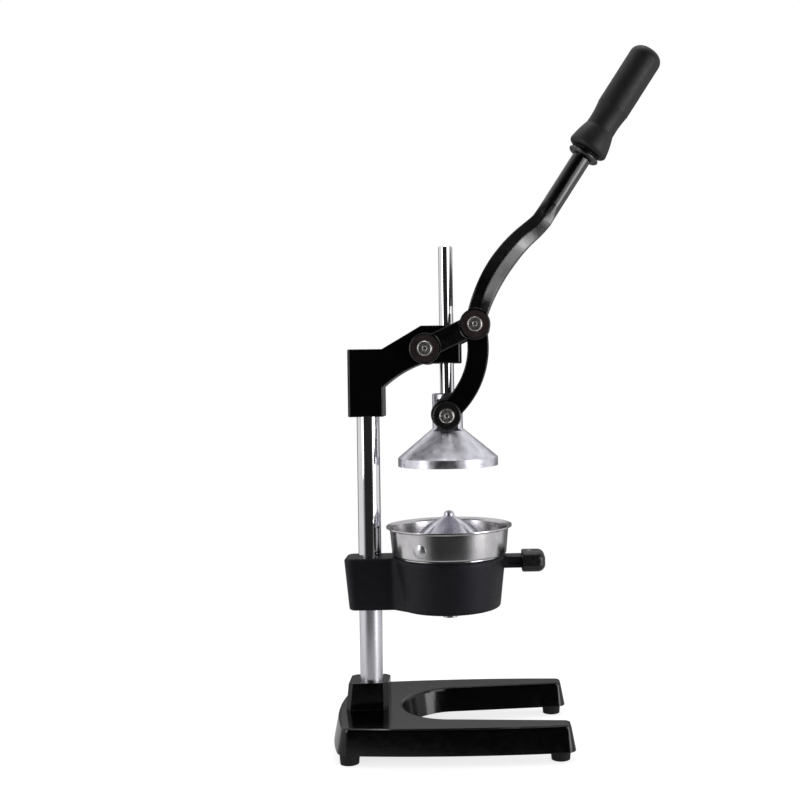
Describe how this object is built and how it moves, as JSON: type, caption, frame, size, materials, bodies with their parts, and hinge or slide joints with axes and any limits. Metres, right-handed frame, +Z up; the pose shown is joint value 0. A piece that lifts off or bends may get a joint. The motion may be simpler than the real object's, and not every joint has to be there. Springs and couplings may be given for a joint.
{
  "type": "lever citrus press",
  "caption": "Bench citrus press: a forked lever on a column head drives a press cone through curved links down onto a reamer in a strainer cup over a juice bowl, on a horseshoe base.",
  "frame": {"origin": "centre of the bounding box's bottom, on the floor that the feet stand on", "axes": "+Z up along the column, +X from the column towards the lever's grip, +Y across to the far side"},
  "size_m": [0.2939, 0.1538, 0.6074],
  "materials": {
    "black_enamel": "glossy black enamel on a casting",
    "holder_coat": "matte black textured coat on a casting",
    "foot_rubber": "matte black rubber",
    "grip_rubber": "matte dark grey rubber",
    "black_plastic": "glossy black plastic",
    "chrome": "mirror chrome plate",
    "cast_aluminium": "satin turned aluminium with a polished rim",
    "stainless": "brushed stainless sheet",
    "pivot_disc": "dark brown satin",
    "press_disc": "black satin",
    "fastener": "bright zinc-plated steel",
    "bush_bronze": "plain bearing bronze"
  },
  "bodies": {
    "stand": {"base": "black_enamel", "head_bracket": "black_enamel", "bowl_holder": "holder_coat", "bowl_handle_tang": "holder_coat", "foot_front_near": "foot_rubber", "foot_front_far": "foot_rubber", "foot_rear_near": "foot_rubber", "foot_rear_far": "foot_rubber", "bowl_handle_cap": "black_plastic", "column": "chrome", "reamer": "cast_aluminium", "strainer_cup": "stainless", "juice_bowl": "stainless", "bowl_spout": "stainless", "foot_screws": "fastener", "column_bolt": "fastener", "column_washer": "fastener", "head_set_screw": "fastener", "holder_set_screw": "fastener", "handle_rivet": "fastener", "reamer_screw": "fastener", "rod_bush": "bush_bronze"},
    "lever": {"lever": "black_enamel", "lever_grip": "grip_rubber", "grip_collar": "black_plastic", "lever_pivot_screw": "fastener", "lever_pivot_nut": "fastener", "lever_pivot_discs": "pivot_disc", "knuckle_screws": "fastener", "knuckle_discs": "pivot_disc"},
    "links": {"link_near": "black_enamel", "link_far": "black_enamel"},
    "press": {"press_rod": "chrome", "press_cone": "cast_aluminium", "press_pivot_screw": "fastener", "press_pivot_nut": "fastener", "press_pivot_discs": "press_disc"}
  },
  "joints": [
    {"name": "lever_swing", "type": "hinge", "parent": "stand", "child": "lever", "pos_m": [-0.0635, 0, 0.3415], "axis": [0, 1, 0], "range_deg": [0, 70]},
    {"name": "link_swing", "type": "hinge", "parent": "lever", "child": "links", "pos_m": [-0.02012, 0, 0.36182], "axis": [0, 1, 0], "range_deg": [-77, 0]},
    {"name": "press_slide", "type": "slide", "parent": "stand", "child": "press", "axis": [0, 0, -1], "range_m": [0, 0.0567]}
  ],
  "couplings": [
    {"joint": "link_swing", "follows": "lever_swing", "ratio": -1.0969},
    {"joint": "press_slide", "follows": "lever_swing", "m_per_rad": 0.04632}
  ]
}
